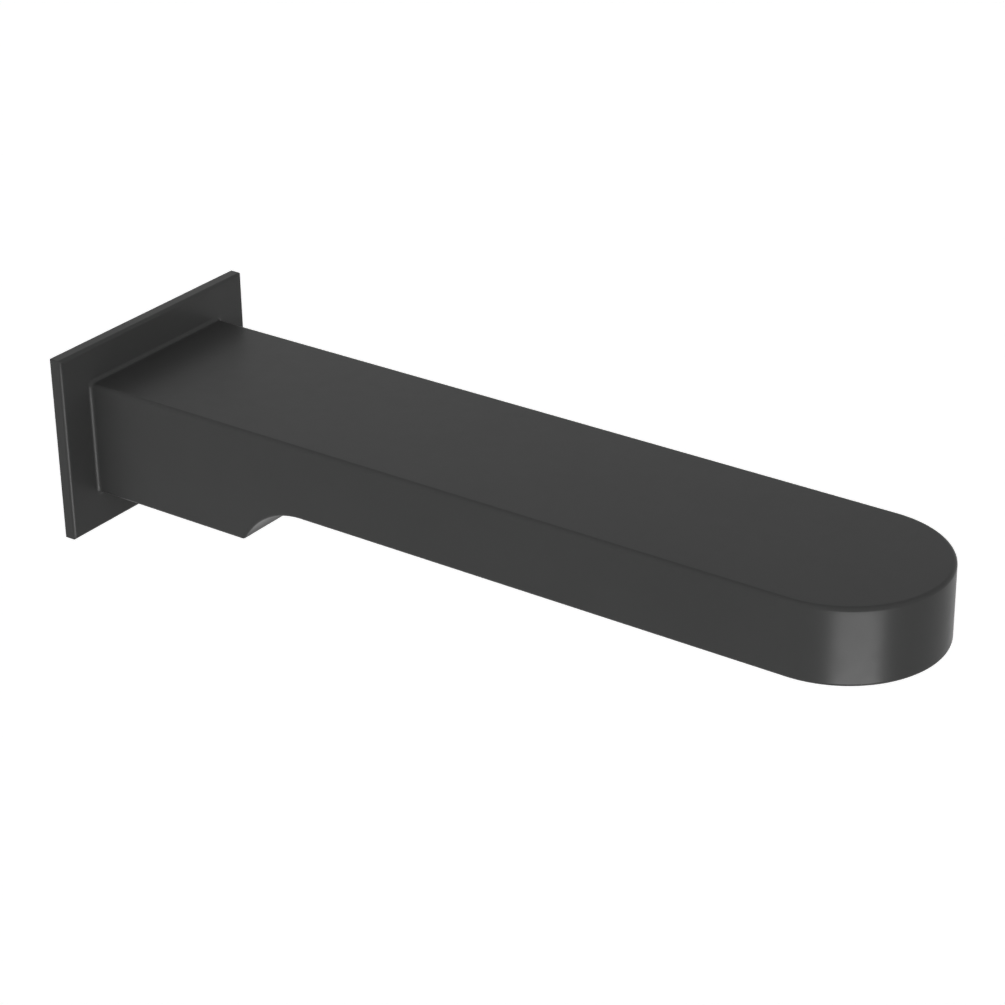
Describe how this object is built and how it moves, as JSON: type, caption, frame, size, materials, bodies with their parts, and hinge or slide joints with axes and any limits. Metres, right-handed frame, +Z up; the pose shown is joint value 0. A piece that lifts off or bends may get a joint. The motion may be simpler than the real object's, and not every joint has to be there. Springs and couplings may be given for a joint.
{
  "type": "bath spout",
  "caption": "Wall-mounted bath spout with a rectangular wall plate, a slim level arm and a half-round nose, which carries water from a threaded wall inlet to an outlet under the nose.",
  "frame": {"origin": "on the inlet axis, in the plane of the wall at the back of the wall plate", "axes": "+Z up, +Y into the wall along the inlet axis, the spout reaches out along -Y, +X to the right seen from the front"},
  "size_m": [0.07, 0.2445, 0.05],
  "materials": {
    "satin_black": "satin black coating on cast brass",
    "bare_brass": "turned",
    "seal_rubber": "moulded",
    "gasket_foam": "closed-cell foam rubber",
    "screw_steel": "plain stainless",
    "insert_black": "moulded",
    "insert_grey": "moulded"
  },
  "bodies": {
    "root": {"spout_body": "satin_black", "plate_gasket": "gasket_foam", "wall_nipple": "bare_brass", "sealing_ring": "seal_rubber", "grub_screw": "screw_steel", "insert_housing": "insert_black", "insert_seal": "seal_rubber", "stream_straightener": "insert_grey", "strainer_disc": "insert_grey"}
  },
  "joints": []
}
